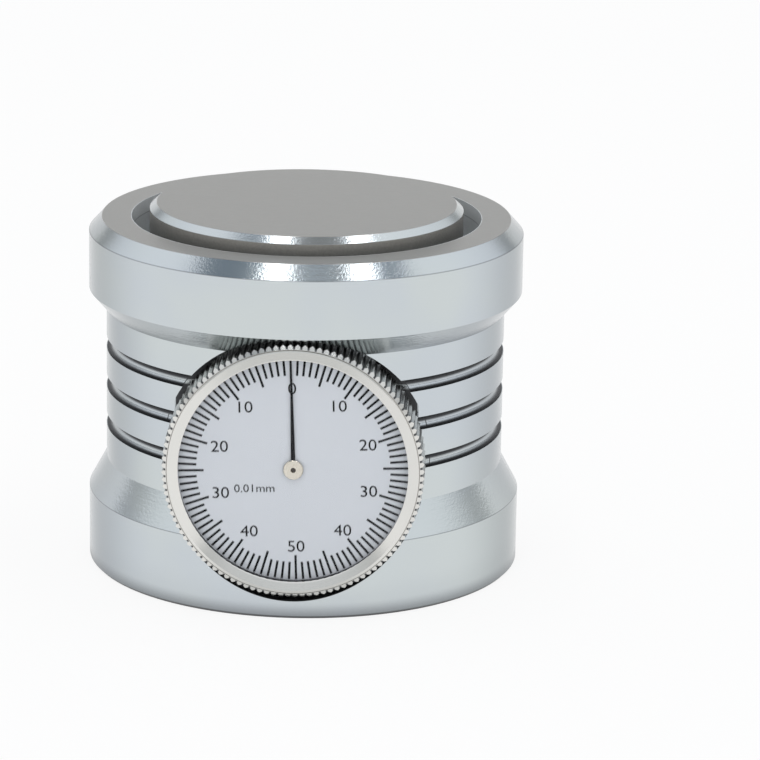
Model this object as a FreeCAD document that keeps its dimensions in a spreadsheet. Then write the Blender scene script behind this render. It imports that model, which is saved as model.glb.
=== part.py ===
import FreeCAD, Part
import math
import os
import Sketcher

# Dial-type tool length setter: a turned spool with a sprung anvil on top and a dial indicator in its front.
# Origin: centre of the base, on the surface it stands on. +Z is up and the dial faces -Y.

doc = FreeCAD.newDocument("ToolLengthSetter")
sheet = doc.addObject("Spreadsheet::Sheet", "Sizes")


def plain(amount):
    return amount.value if isinstance(amount, Size) else float(amount)


def words(amount):
    return amount.text if isinstance(amount, Size) else "%.9g" % amount


class Size:
    # A length in mm, by value and as an expression of the sheet.
    def __init__(self, value, text):
        self.value = float(value)
        self.text = text

    def __add__(self, other):
        return Size(self.value + plain(other), "(%s + %s)" % (self.text, words(other)))

    def __radd__(self, other):
        return self + other

    def __sub__(self, other):
        return Size(self.value - plain(other), "(%s - %s)" % (self.text, words(other)))

    def __rsub__(self, other):
        return Size(plain(other) - self.value, "(%s - %s)" % (words(other), self.text))

    def __mul__(self, other):
        return Size(self.value * plain(other), "(%s * %s)" % (self.text, words(other)))

    def __rmul__(self, other):
        return self * other

    def __truediv__(self, other):
        return Size(self.value / plain(other), "(%s / %s)" % (self.text, words(other)))

    def __neg__(self):
        return Size(-self.value, "(0 - %s)" % self.text)

    def squared(self):
        return self * self

    def root(self):
        return Size(math.sqrt(self.value), "sqrt(%s)" % self.text)


zero = Size(0, "0")
sheet_rows = []


def size(alias, value, note):
    # One row of the sheet: what it is, its value in mm (or a count) and a note.
    sheet_rows.append(alias)
    row = len(sheet_rows)
    sheet.set("A%d" % row, alias)
    sheet.set("B%d" % row, str(value))
    sheet.set("C%d" % row, note)
    sheet.setAlias("B%d" % row, alias)
    return Size(value, "Sizes." + alias)


# Clearances
running_fit = size("running_fit", 0.05, "radial clearance of a sliding or turning fit")
pivot_fit = size("pivot_fit", 0.02, "radial clearance of a pivot in its bush")
seat_fit = size("seat_fit", 0.02, "radial clearance of a part pressed or screwed in place")
side_gap = size("side_gap", 0.3, "space between a turning part and what stands beside it")
overcut = size("overcut", 1.0, "length of a cut past the surface that it starts from")

# Body, from the base up
rim_radius = size("rim_radius", 30.0, "both flanges")
waist_step = size("waist_step", 2.4, "waist inside the flanges")
base_height = size("base_height", 10.2, "base flange")
base_chamfer = size("base_chamfer", 0.4, "lower edge of the base flange")
foot_width = size("foot_width", 6.5, "flange outside the relief turned in the underside")
foot_relief = size("foot_relief", 0.6, "depth of that relief")
lower_cone = size("lower_cone", 4.4, "height of the cone above the base flange")
waist_height = size("waist_height", 21.3, "height of the waist")
upper_cone = size("upper_cone", 2.8, "height of the cone below the upper flange")
rim_height = size("rim_height", 7.95, "straight part of the upper flange")
rim_chamfer_height = size("rim_chamfer_height", 1.95, "chamfer on the upper flange")
rim_chamfer_width = size("rim_chamfer_width", 1.8, "width of that chamfer")
ring_width = size("ring_width", 5.85, "wall round the recess for the anvil")
recess_depth = size("recess_depth", 5.4, "depth of that recess")
groove_radius = size("groove_radius", 0.9, "rounded floor of a ring groove in the waist")
groove_depth = size("groove_depth", 1.0, "depth of a ring groove")
groove_pitch = size("groove_pitch", 5.47, "spacing of the ring grooves")
groove_margin = size("groove_margin", 4.1, "upper cone to the first groove")
groove_count = size("groove_count", 3, "number of ring grooves")

# Dial seat and movement cavity in the body
dial_height = size("dial_height", 20.5, "axis of the dial above the base")
seat_room = size("seat_room", 0.5, "round seat milled in the front, outside the bezel")
seat_depth = size("seat_depth", 7.8, "floor of the seat behind the front of the flanges")
cavity_radius = size("cavity_radius", 14.2, "bore that takes the movement")
cavity_back = size("cavity_back", 6.5, "end of that bore behind the body's axis")

# Anvil, plunger and spring
travel = size("travel", 2.0, "stroke of the anvil")
anvil_gap = size("anvil_gap", 2.5, "pressure pad inside its recess")
anvil_thickness = size("anvil_thickness", 4.5, "thickness of the pad")
anvil_proud = size("anvil_proud", 1.9, "height of the pad above the ring around it")
anvil_chamfer_width = size("anvil_chamfer_width", 1.0, "edge of the pad")
anvil_chamfer_height = size("anvil_chamfer_height", 0.85, "height of that edge")
edge_break = size("edge_break", 0.3, "small broken edge")
plunger_radius = size("plunger_radius", 4.0, "stem of the anvil")
spigot_radius = size("spigot_radius", 2.5, "stem's end pressed in the pad")
spigot_length = size("spigot_length", 3.0, "depth of that end in the pad")
bush_wall = size("bush_wall", 2.0, "wall of the guide bush")
bush_drop = size("bush_drop", 1.7, "guide bush below the top of the cavity")
spring_wire = size("spring_wire", 1.0, "wire of the return spring")
spring_radius = size("spring_radius", 9.3, "return spring to the middle of its wire")
spring_turns = size("spring_turns", 4.5, "turns of the return spring")
spring_room = size("spring_room", 1.4, "spring pocket beside the wire")
pocket_depth = size("pocket_depth", 5.0, "depth of the spring pocket")
pin_radius = size("pin_radius", 1.5, "guide pin")
pin_edge = size("pin_edge", 4.65, "guide pin inside the edge of the pad")
pin_length = size("pin_length", 9.5, "guide pin below the pad")
pin_well = size("pin_well", 0.5, "room below the guide pin at the end of its stroke")

# Plug in the base
plug_radius = size("plug_radius", 5.0, "access plug")
plug_inset = size("plug_inset", 0.8, "plug above the base")
plug_length = size("plug_length", 4.5, "length of the plug")
plug_socket = size("plug_socket", 2.5, "depth of its hexagon socket")
plug_hexagon = size("plug_hexagon", 2.9, "hexagon socket, centre to corner")

# Arm and rack
arm_thickness = size("arm_thickness", 2.4, "arm under the plunger")
arm_back = size("arm_back", 5.0, "arm behind the plunger's axis")
arm_width = size("arm_width", 8.4, "arm at the plunger")
arm_tip_width = size("arm_tip_width", 4.0, "arm at the rack")
arm_screw_radius = size("arm_screw_radius", 1.5, "screw in the plunger")
arm_screw_depth = size("arm_screw_depth", 6.0, "its depth in the plunger")
arm_head_radius = size("arm_head_radius", 2.75, "its head")
arm_head_height = size("arm_head_height", 1.8, "height of its head")
arm_hexagon = size("arm_hexagon", 1.4, "hexagon socket, centre to corner")
arm_socket = size("arm_socket", 1.1, "depth of that socket")
rack_pitch = size("rack_pitch", 0.625, "sixteen of these are one turn of the rack pinion")
rack_line = size("rack_line", 3.2, "pitch line of the rack beside the dial's axis")
rack_back = size("rack_back", 2.0, "back of the rack behind its pitch line")
rack_width = size("rack_width", 3.0, "length of its teeth")
rack_room = size("rack_room", 2.0, "rack behind the hairspring gear")
rack_teeth = size("rack_teeth", 13, "number of teeth")
rack_teeth_below = size("rack_teeth_below", 5, "teeth below the pinion's axis at rest")
rack_tail = size("rack_tail", 0.8, "rack below its last tooth")

# Gear train
rack_pinion_teeth = size("rack_pinion_teeth", 16, "teeth")
wheel_teeth = size("wheel_teeth", 100, "teeth of both brass wheels")
centre_teeth = size("centre_teeth", 10, "teeth of the centre pinion")
wheel_module = size("wheel_module", 0.12, "module of the wheels and the centre pinion")
wheel_thickness = size("wheel_thickness", 0.6, "brass wheels")
wheel_holes = size("wheel_holes", 5, "holes that lighten a wheel")
wheel_hole_radius = size("wheel_hole_radius", 1.32, "holes that lighten a wheel")
wheel_hole_circle = size("wheel_hole_circle", 3.3, "those holes from the wheel's axis")
tooth_top = size("tooth_top", 0.85, "tooth outside the pitch circle, in modules")
tooth_foot = size("tooth_foot", 1.2, "tooth inside the pitch circle, in modules")
tooth_slope = size("tooth_slope", 0.3, "lean of a tooth's flank")
wheel_tooth_share = size("wheel_tooth_share", 0.4, "tooth's share of the pitch on the wheels")
rack_tooth_share = size("rack_tooth_share", 0.45, "tooth's share of the pitch on the rack")
first_wheel_depth = size("first_wheel_depth", 2.9, "back of the first gear behind the case floor")
second_wheel_depth = size("second_wheel_depth", 4.2, "back of the hairspring gear behind the case floor")
arbor_radius = size("arbor_radius", 0.8, "arbors of the wheels")
pivot_radius = size("pivot_radius", 0.4, "their pivots")
centre_arbor_radius = size("centre_arbor_radius", 0.45, "arbor of the centre pinion")
centre_pivot_radius = size("centre_pivot_radius", 0.35, "its pivots")
shoulder_gap = size("shoulder_gap", 0.2, "end shake between an arbor's shoulder and a plate")
pivot_inset = size("pivot_inset", 0.2, "pivot's end inside its bush")

# Dial case and movement plates
flange_width = size("flange_width", 1.1, "flange that rests in the seat, outside the neck")
flange_thickness = size("flange_thickness", 1.0, "thickness of that flange")
neck_radius = size("neck_radius", 15.9, "neck that the bezel turns on")
neck_wall = size("neck_wall", 1.2, "wall of the neck")
spigot_wall = size("spigot_wall", 0.8, "wall of the case inside the cavity")
spigot_reach = size("spigot_reach", 3.8, "length of the case inside the cavity")
plate_thickness = size("plate_thickness", 1.0, "case floor and rear plate")
floor_step = size("floor_step", 1.6, "back of the case floor in front of the seat")
pillar_length = size("pillar_length", 10.8, "space between floor and rear plate")
pillar_count = size("pillar_count", 3, "pillars, spread over the lower half")
pillar_radius = size("pillar_radius", 1.3, "pillars")
pillar_inset = size("pillar_inset", 3.0, "pillars inside the cavity's wall")
rear_plate_gap = size("rear_plate_gap", 1.3, "rear plate inside the cavity's wall")
rear_plate_top = size("rear_plate_top", 7.5, "flat top edge of the rear plate above the dial's axis")
bush_radius = size("bush_radius", 1.2, "bearing bushes")
screw_radius = size("screw_radius", 0.6, "movement screws")
screw_head_radius = size("screw_head_radius", 1.15, "their heads")
screw_head_height = size("screw_head_height", 0.8, "height of their heads")
screw_grip = size("screw_grip", 2.0, "depth of their threads")
slot_width = size("slot_width", 0.3, "screw slots")
slot_depth = size("slot_depth", 0.35, "depth of screw slots")
grub_radius = size("grub_radius", 1.5, "screw that clamps the case")
grub_length = size("grub_length", 5.1, "length of that screw")
grub_hexagon = size("grub_hexagon", 0.85, "hexagon socket, centre to corner")
grub_socket = size("grub_socket", 1.5, "depth of that socket")

# Hairspring
hair_thickness = size("hair_thickness", 0.12, "strip")
hair_height = size("hair_height", 0.5, "height of the strip")
hair_inner = size("hair_inner", 1.25, "start of the spiral")
hair_pitch = size("hair_pitch", 0.45, "spacing of its turns")
hair_turns = size("hair_turns", 4.5, "turns")
hair_depth = size("hair_depth", 1.7, "back of the strip behind its gear")
stud_radius = size("stud_radius", 0.5, "post that holds the outer end")

# Bezel, crystal, dial and pointer
bezel_wall = size("bezel_wall", 1.55, "bezel from its bore to the tips of the knurl")
bezel_length = size("bezel_length", 6.8, "length of the bezel")
knurl_depth = size("knurl_depth", 0.35, "depth of the knurl")
knurl_count = size("knurl_count", 112, "grooves of the knurl")
knurl_land = size("knurl_land", 0.1, "flat left between two grooves")
bezel_chamfer = size("bezel_chamfer", 0.6, "front edge of the knurl")
chamfer_depth = size("chamfer_depth", 0.4, "depth of that edge")
face_step = size("face_step", 0.2, "step from that edge up to the front ring")
line_width = size("line_width", 0.12, "fine groove turned round the front ring")
line_depth = size("line_depth", 0.2, "depth of that groove")
face_crown = size("face_crown", 0.35, "width of the rounded rise to the front ring")
lip_width = size("lip_width", 0.6, "front ring over the edge of the dial")
lip_slope = size("lip_slope", 0.5, "fall of the front ring to the opening")
lip_wall = size("lip_wall", 0.15, "edge of the opening in front of the crystal")
crystal_thickness = size("crystal_thickness", 0.6, "crystal")
spacer_length = size("spacer_length", 0.55, "crystal to dial")
spacer_wall = size("spacer_wall", 0.45, "wall of the spacer")
dial_thickness = size("dial_thickness", 0.5, "dial")
dial_hole = size("dial_hole", 1.1, "hole in the dial")
ring_thickness = size("ring_thickness", 0.3, "ring that holds the dial in the bezel")
ring_wall = size("ring_wall", 1.1, "wall of that ring")
wire_radius = size("wire_radius", 0.3, "wire ring that holds the bezel")
wire_front = size("wire_front", 2.0, "wire ring in front of the bezel's back")
pointer_gap = size("pointer_gap", 0.12, "dial to pointer")
pointer_thickness = size("pointer_thickness", 0.12, "pointer")
pointer_edge = size("pointer_edge", 0.95, "tip of the pointer inside the opening over the dial")
pointer_root = size("pointer_root", 0.62, "width of the pointer at its hub")
pointer_tip = size("pointer_tip", 0.2, "width of the pointer at its tip")
hub_radius = size("hub_radius", 1.35, "head of the pointer's hub")
hub_height = size("hub_height", 0.18, "height of that head")
hub_tube = size("hub_tube", 0.8, "tube of the hub")
hub_tube_length = size("hub_tube_length", 1.3, "length of that tube")
hub_sink = size("hub_sink", 0.3, "arbor's end below the top of the hub")

# Radii that follow from others
waist_radius = rim_radius - waist_step
recess_radius = rim_radius - ring_width
anvil_radius = recess_radius - anvil_gap
foot_radius = rim_radius - foot_width
pin_offset = anvil_radius - pin_edge
pocket_inner = spring_radius - spring_wire / 2 - spring_room
pocket_outer = spring_radius + spring_wire / 2 + spring_room
bezel_bore = neck_radius + running_fit
bezel_radius = bezel_bore + bezel_wall
seat_radius = bezel_radius + seat_room
flange_radius = neck_radius + flange_width
lip_radius = bezel_bore - lip_width
pointer_length = lip_radius - pointer_edge
pillar_circle = cavity_radius - pillar_inset
rear_plate_radius = cavity_radius - rear_plate_gap

# Heights of the body
cone_foot = base_height
waist_foot = cone_foot + lower_cone
waist_top = waist_foot + waist_height
rim_bottom = waist_top + upper_cone
rim_top = rim_bottom + rim_height
ring_top = rim_top + rim_chamfer_height
recess_floor = ring_top - recess_depth
pocket_floor = recess_floor - pocket_depth
bush_bore = plunger_radius + running_fit + bush_wall
arm_top = dial_height + cavity_radius - bush_drop
arm_bottom = arm_top - arm_thickness
anvil_top = ring_top + anvil_proud
anvil_bottom = anvil_top - anvil_thickness
pin_bottom = anvil_bottom - pin_length
pin_bore_bottom = pin_bottom - travel - pin_well

# Distances in front of the body's axis
seat_face = rim_radius - seat_depth
floor_back = seat_face + floor_step
first_wheel_back = floor_back - first_wheel_depth
second_wheel_back = floor_back - second_wheel_depth
rack_front = second_wheel_back - rack_room
hair_back = second_wheel_back - hair_depth
floor_front = floor_back + plate_thickness
rear_plate_front = floor_back - pillar_length
rear_plate_back = rear_plate_front - plate_thickness
case_back = seat_face - spigot_reach
flange_front = seat_face + flange_thickness
bezel_back = flange_front + side_gap
bezel_front = bezel_back + bezel_length
lip_front = bezel_front - lip_slope
crystal_front = lip_front - lip_wall
crystal_back = crystal_front - crystal_thickness
dial_front = crystal_back - spacer_length
dial_back = dial_front - dial_thickness
ring_back = dial_back - ring_thickness
neck_front = ring_back - side_gap
wire_middle = bezel_back + wire_front
pointer_back = dial_front + pointer_gap
hub_back = pointer_back + pointer_thickness

# Gear train in the plane of the dial
rack_module = rack_pitch / math.pi
rack_pinion_radius = rack_module * rack_pinion_teeth / 2
wheel_radius = wheel_module * wheel_teeth / 2
centre_radius = wheel_module * centre_teeth / 2
centre_distance = wheel_radius + centre_radius
first_across = rack_line + rack_pinion_radius
first_up = (centre_distance.squared() - first_across.squared()).root()
first_angle = math.degrees(math.atan2(plain(first_up), plain(first_across)))
second_angle = 225.0
second_across = centre_distance * math.cos(math.radians(second_angle))
second_up = centre_distance * math.sin(math.radians(second_angle))

forward = FreeCAD.Rotation(FreeCAD.Vector(1, 0, 0), 90)
sub_parts = []


def keep(part, name):
    part.Label = name
    sub_parts.append(part)
    return part


def bind(part, setting, amount):
    if isinstance(amount, Size):
        part.setExpression(setting, amount.text)
    else:
        setattr(part, setting, amount)


def new_body(name):
    return keep(doc.addObject("PartDesign::Body", name), name)


def dial_body(name, across=zero, up=zero, turned=0.0):
    # Modelled along +Z, turned about its own axis and set so that it points out of the dial.
    body = new_body(name)
    spin = FreeCAD.Rotation(FreeCAD.Vector(0, 0, 1), turned)
    height = dial_height + up
    spot = FreeCAD.Vector(plain(across), 0, plain(height))
    body.Placement = FreeCAD.Placement(spot, forward.multiply(spin))
    bind(body, "Placement.Base.x", across)
    bind(body, "Placement.Base.z", height)
    return body


def new_sketch(body, name, plane, lift=None):
    sketch = body.newObject("Sketcher::SketchObject", name)
    support = [item for item in body.Origin.OriginFeatures if item.Role == plane]
    sketch.AttachmentSupport = (support[0], [""])
    sketch.MapMode = "FlatFace"
    if lift is not None:
        sketch.setExpression("AttachmentOffset.Base.z", lift.text)
    return sketch


def pin_point(sketch, kind, edge, point, distance):
    # Distance of a point from the sketch's origin along one axis; a point at zero lies on the other axis.
    if plain(distance) == 0:
        axis = -2 if kind == "DistanceX" else -1
        sketch.addConstraint(Sketcher.Constraint("PointOnObject", edge, point, axis))
        return
    number = sketch.addConstraint(Sketcher.Constraint(kind, -1, 1, edge, point, plain(distance)))
    if isinstance(distance, Size):
        sketch.setExpression("Constraints[%d]" % number, distance.text)


def outline(body, name, plane, corners, lift=None):
    # A closed outline through corners given as sizes.
    sketch = new_sketch(body, name, plane, lift)
    count = len(corners)
    spots = [FreeCAD.Vector(plain(across), plain(up), 0) for across, up in corners]
    for index in range(count):
        sketch.addGeometry(Part.LineSegment(spots[index], spots[(index + 1) % count]))
    for index in range(count):
        sketch.addConstraint(Sketcher.Constraint("Coincident", index, 2, (index + 1) % count, 1))
    for index, (across, up) in enumerate(corners):
        pin_point(sketch, "DistanceX", index, 1, across)
        pin_point(sketch, "DistanceY", index, 1, up)
    return sketch


def circle(body, name, plane, across, up, radius, lift=None):
    sketch = new_sketch(body, name, plane, lift)
    middle = FreeCAD.Vector(plain(across), plain(up), 0)
    sketch.addGeometry(Part.Circle(middle, FreeCAD.Vector(0, 0, 1), plain(radius)))
    number = sketch.addConstraint(Sketcher.Constraint("Radius", 0, plain(radius)))
    sketch.setExpression("Constraints[%d]" % number, radius.text)
    pin_point(sketch, "DistanceX", 0, 3, across)
    pin_point(sketch, "DistanceY", 0, 3, up)
    return sketch


def ring(body, name, plane, across, up, radius, hole, lift=None):
    sketch = circle(body, name, plane, across, up, radius, lift)
    middle = FreeCAD.Vector(plain(across), plain(up), 0)
    sketch.addGeometry(Part.Circle(middle, FreeCAD.Vector(0, 0, 1), plain(hole)))
    number = sketch.addConstraint(Sketcher.Constraint("Radius", 1, plain(hole)))
    sketch.setExpression("Constraints[%d]" % number, hole.text)
    sketch.addConstraint(Sketcher.Constraint("Coincident", 1, 3, 0, 3))
    return sketch


def hexagon(body, name, plane, corner, lift=None):
    aside = corner * (math.sqrt(3) / 2)
    return outline(body, name, plane, [
        (corner, zero), (corner / 2, aside), (-corner / 2, aside),
        (-corner, zero), (-corner / 2, -aside), (corner / 2, -aside),
    ], lift)


def turn_sketch(body, sketch):
    revolution = body.newObject("PartDesign::Revolution", body.Name + "_turned")
    revolution.Profile = sketch
    revolution.ReferenceAxis = (sketch, ["V_Axis"])
    revolution.Angle = 360
    body.Tip = revolution
    return revolution


def turn(body, corners):
    # The corners are (radius, height) pairs, turned about the part's own Z axis.
    return turn_sketch(body, outline(body, body.Name + "_profile", "XZ_Plane", corners))


def pad(body, name, sketch, length):
    feature = body.newObject("PartDesign::Pad", name)
    feature.Profile = sketch
    bind(feature, "Length", length)
    body.Tip = feature
    return feature


def pocket(body, name, sketch, depth, along_normal=False):
    feature = body.newObject("PartDesign::Pocket", name)
    feature.Profile = sketch
    feature.Reversed = along_normal
    bind(feature, "Length", depth)
    body.Tip = feature
    return feature


def repeat_round(body, name, sketch, features, count, angle=360.0):
    pattern = body.newObject("PartDesign::PolarPattern", name)
    pattern.Originals = features
    pattern.Axis = (sketch, ["N_Axis"])
    pattern.Angle = angle
    bind(pattern, "Occurrences", count)
    body.Tip = pattern
    return pattern


def repeat_up(body, name, sketch, feature, pitch, count, downwards=False):
    pattern = body.newObject("PartDesign::LinearPattern", name)
    pattern.Originals = [feature]
    pattern.Direction = (sketch, ["V_Axis"])
    pattern.Reversed = downwards
    pattern.Mode = "Spacing"
    bind(pattern, "Offset", pitch)
    bind(pattern, "Occurrences", count)
    body.Tip = pattern
    return pattern


def make_body():
    body = new_body("body")
    turn(body, [
        (foot_radius, foot_relief), (foot_radius, zero), (rim_radius - base_chamfer, zero),
        (rim_radius, base_chamfer), (rim_radius, base_height),
        (waist_radius, waist_foot), (waist_radius, waist_top),
        (rim_radius, rim_bottom), (rim_radius, rim_top), (rim_radius - rim_chamfer_width, ring_top),
        (recess_radius, ring_top), (recess_radius, recess_floor),
        (pocket_outer, recess_floor), (pocket_outer, pocket_floor),
        (pocket_inner, pocket_floor), (pocket_inner, recess_floor),
        (bush_bore, recess_floor), (bush_bore, dial_height),
        (plug_radius, dial_height), (plug_radius, foot_relief),
    ])
    bore = circle(body, "cavity_outline", "XZ_Plane", 0, dial_height, cavity_radius, seat_face)
    pocket(body, "movement_cavity", bore, seat_face + cavity_back)
    seat = circle(body, "seat_outline", "XZ_Plane", 0, dial_height, seat_radius, seat_face)
    pocket(body, "dial_seat", seat, rim_radius - seat_face + overcut, along_normal=True)
    groove_out = waist_radius - groove_depth + groove_radius
    groove_middle = waist_top - groove_margin - groove_radius
    groove = circle(body, "groove_profile", "XZ_Plane", groove_out, groove_middle, groove_radius)
    cut = body.newObject("PartDesign::Groove", "ring_groove")
    cut.Profile = groove
    cut.ReferenceAxis = (groove, ["V_Axis"])
    cut.Angle = 360
    body.Tip = cut
    repeat_up(body, "ring_grooves", groove, cut, groove_pitch, groove_count, downwards=True)
    wide_pin = pin_radius + running_fit
    pin_bore = circle(body, "pin_bore_outline", "XY_Plane", 0, pin_offset, wide_pin, recess_floor)
    pocket(body, "pin_bore", pin_bore, recess_floor - pin_bore_bottom)
    grub_front = seat_face - spigot_reach / 2
    grub_bore = circle(body, "grub_bore_outline", "XY_Plane", 0, -grub_front, grub_radius)
    pocket(body, "grub_bore", grub_bore, dial_height - cavity_radius + overcut, along_normal=True)


def make_anvil():
    anvil = new_body("anvil")
    turn(anvil, [
        (spigot_radius, anvil_bottom), (anvil_radius - edge_break, anvil_bottom),
        (anvil_radius, anvil_bottom + edge_break), (anvil_radius, anvil_top - anvil_chamfer_height),
        (anvil_radius - anvil_chamfer_width, anvil_top), (zero, anvil_top),
        (zero, anvil_bottom + spigot_length), (spigot_radius, anvil_bottom + spigot_length),
    ])
    hole = circle(anvil, "pin_hole_outline", "XY_Plane", 0, pin_offset, pin_radius, anvil_bottom)
    pocket(anvil, "pin_hole", hole, spigot_length, along_normal=True)


def make_plunger():
    plunger = new_body("plunger")
    thread_top = arm_top + arm_screw_depth
    turn(plunger, [
        (arm_screw_radius, arm_top), (plunger_radius - edge_break, arm_top),
        (plunger_radius, arm_top + edge_break), (plunger_radius, anvil_bottom),
        (spigot_radius, anvil_bottom), (spigot_radius, anvil_bottom + spigot_length),
        (zero, anvil_bottom + spigot_length), (zero, thread_top), (arm_screw_radius, thread_top),
    ])


def make_guide():
    bush = new_body("guide_bush")
    bore = plunger_radius + running_fit
    turn(bush, [
        (bore, arm_top), (bush_bore, arm_top), (bush_bore, recess_floor),
        (bore + edge_break, recess_floor), (bore, recess_floor - edge_break),
    ])
    guide_pin = new_body("guide_pin")
    pin_top = anvil_bottom + spigot_length
    turn(guide_pin, [
        (zero, pin_bottom), (pin_radius - edge_break, pin_bottom), (pin_radius, pin_bottom + edge_break),
        (pin_radius, pin_top), (zero, pin_top),
    ])
    guide_pin.setExpression("Placement.Base.y", pin_offset.text)


def make_return_spring():
    spring = new_body("return_spring")
    low = pocket_floor + spring_wire / 2
    wire = circle(spring, "wire_outline", "XZ_Plane", spring_radius, low, spring_wire / 2)
    coil = spring.newObject("PartDesign::AdditiveHelix", "coil")
    coil.Profile = wire
    coil.ReferenceAxis = (wire, ["V_Axis"])
    coil.Mode = "height-turns-angle"
    bind(coil, "Height", anvil_bottom - spring_wire / 2 - low)
    bind(coil, "Turns", spring_turns)
    spring.Tip = coil


def make_base_plug():
    plug = new_body("base_plug")
    low = foot_relief + plug_inset
    turn(plug, [
        (zero, low), (plug_radius - seat_fit, low), (plug_radius - seat_fit, low + plug_length),
        (zero, low + plug_length),
    ])
    socket = hexagon(plug, "plug_socket_outline", "XY_Plane", plug_hexagon, low)
    pocket(plug, "socket", socket, plug_socket, along_normal=True)


def make_arm():
    arm = new_body("rack_arm")
    rack_middle = rack_line - rack_back / 2
    tip_right = rack_middle + arm_tip_width / 2
    tip_left = rack_middle - arm_tip_width / 2
    tip_front = rack_front + edge_break / 2
    half = arm_width / 2
    shape = outline(arm, "arm_outline", "XY_Plane", [
        (-half, -half), (tip_left, -(rack_front - rack_width)), (tip_left, -tip_front),
        (tip_right, -tip_front), (tip_right, -(rack_front - rack_width)), (half, -half),
        (half, arm_back - half / 2), (half / 2, arm_back), (-half / 2, arm_back), (-half, arm_back - half / 2),
    ], arm_bottom)
    pad(arm, "arm_plate", shape, arm_thickness)
    large_hole = circle(arm, "arm_hole_outline", "XY_Plane", 0, 0, arm_screw_radius, arm_bottom)
    pocket(arm, "arm_hole", large_hole, arm_thickness, along_normal=True)
    rack_up = -(rack_front - rack_width / 2)
    small_hole = circle(arm, "rack_hole_outline", "XY_Plane", rack_middle, rack_up, screw_radius, arm_bottom)
    pocket(arm, "rack_hole", small_hole, arm_thickness, along_normal=True)

    screw = new_body("arm_screw")
    head_bottom = arm_bottom - arm_head_height
    screw_top = arm_top + arm_screw_depth
    turn(screw, [
        (zero, head_bottom), (arm_head_radius - edge_break, head_bottom),
        (arm_head_radius, head_bottom + edge_break), (arm_head_radius, arm_bottom),
        (arm_screw_radius, arm_bottom), (arm_screw_radius, screw_top), (zero, screw_top),
    ])
    socket = hexagon(screw, "arm_socket_outline", "XY_Plane", arm_hexagon, head_bottom)
    pocket(screw, "arm_screw_socket", socket, arm_socket, along_normal=True)


def slotted_head(body, name, seat, across=zero):
    # A cheese head standing on its seat and the slot across it.
    head = pad(body, name + "_head", circle(
        body, name + "_head_outline", "XY_Plane", across, 0, screw_head_radius, seat), screw_head_height)
    half = slot_width / 2
    top = seat + screw_head_height
    left = across - screw_head_radius
    right = across + screw_head_radius
    slot = outline(body, name + "_slot_outline", "XY_Plane", [
        (left, -half), (right, -half), (right, half), (left, half)], top)
    return head, pocket(body, name + "_slot", slot, slot_depth)


def make_rack():
    # Drawn in the plane of the dial, across and up from the dial's axis, and padded along its teeth.
    # A gap between two teeth faces the pinion's first tooth.
    rack = dial_body("rack")
    back = rack_line - rack_back
    foot = rack_line - rack_module * tooth_foot
    tip = rack_line + rack_module * tooth_top
    half = rack_pitch * rack_tooth_share / 2
    foot_half = half + tooth_slope * rack_module * tooth_foot
    tip_half = half - tooth_slope * rack_module * tooth_top
    low = rack_front - rack_width
    top = arm_bottom - dial_height
    first_tooth = first_up + rack_pitch / 2 - rack_pitch * rack_teeth_below
    bottom = first_tooth - foot_half - rack_tail
    bar = outline(rack, "bar_outline", "XY_Plane", [
        (back, bottom), (foot, bottom), (foot, top), (back, top)], low)
    pad(rack, "bar", bar, rack_width)
    tooth = outline(rack, "rack_tooth_outline", "XY_Plane", [
        (foot, first_tooth - foot_half), (tip, first_tooth - tip_half),
        (tip, first_tooth + tip_half), (foot, first_tooth + foot_half)], low)
    first = pad(rack, "rack_tooth", tooth, rack_width)
    repeat_up(rack, "rack_toothing", tooth, first, rack_pitch, rack_teeth)
    middle = rack_line - rack_back / 2
    thread = circle(rack, "rack_thread_outline", "XZ_Plane", middle, low + rack_width / 2, screw_radius, -top)
    pocket(rack, "rack_thread", thread, screw_grip, along_normal=True)

    screw = new_body("rack_screw")
    bind(screw, "Placement.Base.x", middle)
    bind(screw, "Placement.Base.y", -(low + rack_width / 2))
    shank_low = arm_bottom - screw_grip
    shank = circle(screw, "rack_shank_outline", "XY_Plane", 0, 0, screw_radius, shank_low)
    pad(screw, "rack_shank", shank, arm_top - shank_low)
    slotted_head(screw, "rack_screw", arm_top)


def toothing(body, low, high, module, teeth, share):
    # Straight-flanked teeth on a turned blank; the first one points along the body's own X axis.
    radius = module * teeth / 2
    foot = radius - module * tooth_foot
    tip = radius + module * tooth_top
    half = module * math.pi * share / 2
    foot_half = half + tooth_slope * module * tooth_foot
    tip_half = half - tooth_slope * module * tooth_top
    sunk = foot - module / 2
    tooth = outline(body, body.Name + "_tooth_outline", "XY_Plane", [
        (sunk, -foot_half), (foot, -foot_half), (tip, -tip_half),
        (tip, tip_half), (foot, foot_half), (sunk, foot_half)], low)
    first = pad(body, body.Name + "_tooth", tooth, high - low)
    repeat_round(body, body.Name + "_toothing", tooth, [first], teeth)


def turn_arbor(body, shoulder, pivot, front, collar, collar_back, collar_front):
    # An arbor between the two plates with a pivot at each end and one collar on it.
    back = rear_plate_back + pivot_inset
    shoulder_back = rear_plate_front + shoulder_gap
    shoulder_front = floor_back - shoulder_gap
    turn(body, [
        (zero, back), (pivot, back), (pivot, shoulder_back), (shoulder, shoulder_back),
        (shoulder, collar_back), (collar, collar_back), (collar, collar_front), (shoulder, collar_front),
        (shoulder, shoulder_front), (pivot, shoulder_front), (pivot, front), (zero, front),
    ])


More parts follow.
